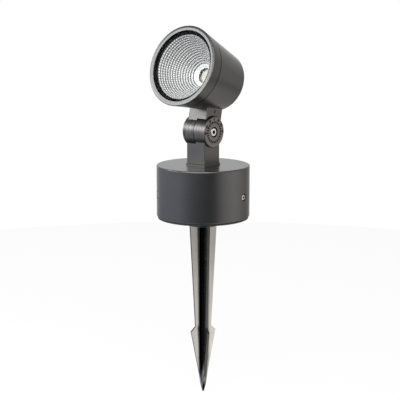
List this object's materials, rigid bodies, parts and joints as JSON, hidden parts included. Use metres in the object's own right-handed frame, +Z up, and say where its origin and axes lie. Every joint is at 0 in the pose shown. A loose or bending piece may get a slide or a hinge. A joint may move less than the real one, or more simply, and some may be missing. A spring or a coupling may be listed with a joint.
{
  "type": "garden spike spotlight",
  "caption": "Outdoor spotlight on a ground spike: drum base with a driver, square post that swivels, clamped tilt joint with a dial, and a tapered round head with a reflector.",
  "frame": {"origin": "centre of the base's underside at ground level, where the spike's collar meets it", "axes": "+Z up along the spike and the swivel axis, -Y where the head faces, +X out of the dial along the tilt axis"},
  "size_m": [0.12, 0.1384, 0.4832],
  "materials": {
    "anthracite_coat": "fine matt powder coat",
    "black_coat": "satin black coat",
    "spike_metal": "satin cast, grey",
    "black_rubber": "matt black",
    "stainless": "bright stainless steel",
    "brass": "turned brass",
    "black_plastic": "satin black nylon",
    "driver_plastic": "light grey plastic",
    "circuit_board": "green solder mask",
    "lead_insulation": "silicone wire insulation",
    "glass": "clear tempered glass",
    "reflector_aluminium": "bright faceted, vacuum coated",
    "holder_plastic": "dark grey heat-proof plastic",
    "board_aluminium": "milled",
    "emitter": "pale phosphor layer, unlit"
  },
  "bodies": {
    "base": {"base_housing": "anthracite_coat", "bottom_plate": "black_coat", "bottom_gasket": "black_rubber", "plate_uprights": "stainless", "base_side_screws": "stainless", "ground_spike": "spike_metal", "spike_stud": "stainless", "spike_washer": "stainless", "spike_nut": "stainless", "driver_case": "driver_plastic", "driver_board": "circuit_board", "driver_board_screws": "stainless", "driver_lid": "driver_plastic", "terminal_block": "driver_plastic", "terminal_screws": "stainless", "driver_leads": "lead_insulation", "gland_body": "black_plastic", "gland_seal": "black_rubber", "gland_cap": "black_plastic", "gland_locknut": "black_plastic"},
    "post": {"lower_post": "anthracite_coat", "foot_ring": "black_rubber", "stop_washer": "stainless", "spring_washer": "stainless", "pan_nut": "brass", "friction_ring": "black_rubber"},
    "clamp": {"clamp_screw": "stainless"},
    "head": {"clamp_nut": "stainless", "pivot_bush": "brass", "upper_arm": "anthracite_coat", "arm_bolts": "stainless", "head_housing": "anthracite_coat", "front_bezel": "anthracite_coat", "bezel_seal": "black_rubber", "glass_lens": "glass", "lens_gasket": "black_rubber", "reflector": "reflector_aluminium", "cob_holder": "holder_plastic", "holder_screws": "stainless", "cob_board": "board_aluminium", "cob_emitter": "emitter", "heat_spreader": "board_aluminium", "spreader_screws": "stainless", "emitter_leads": "lead_insulation"}
  },
  "joints": [
    {"name": "swivel", "type": "hinge", "parent": "base", "child": "post", "pos_m": [0, 0, 0.0688], "axis": [0, 0, 1], "range_deg": [-165, 165]},
    {"name": "tilt", "type": "hinge", "parent": "post", "child": "head", "pos_m": [0, 0, 0.112], "axis": [1, 0, 0], "range_deg": [-72, 65]},
    {"name": "clamp_turn", "type": "hinge", "parent": "post", "child": "clamp", "pos_m": [0.0118, 0, 0.112], "axis": [1, 0, 0], "range_deg": [0, 180]}
  ]
}
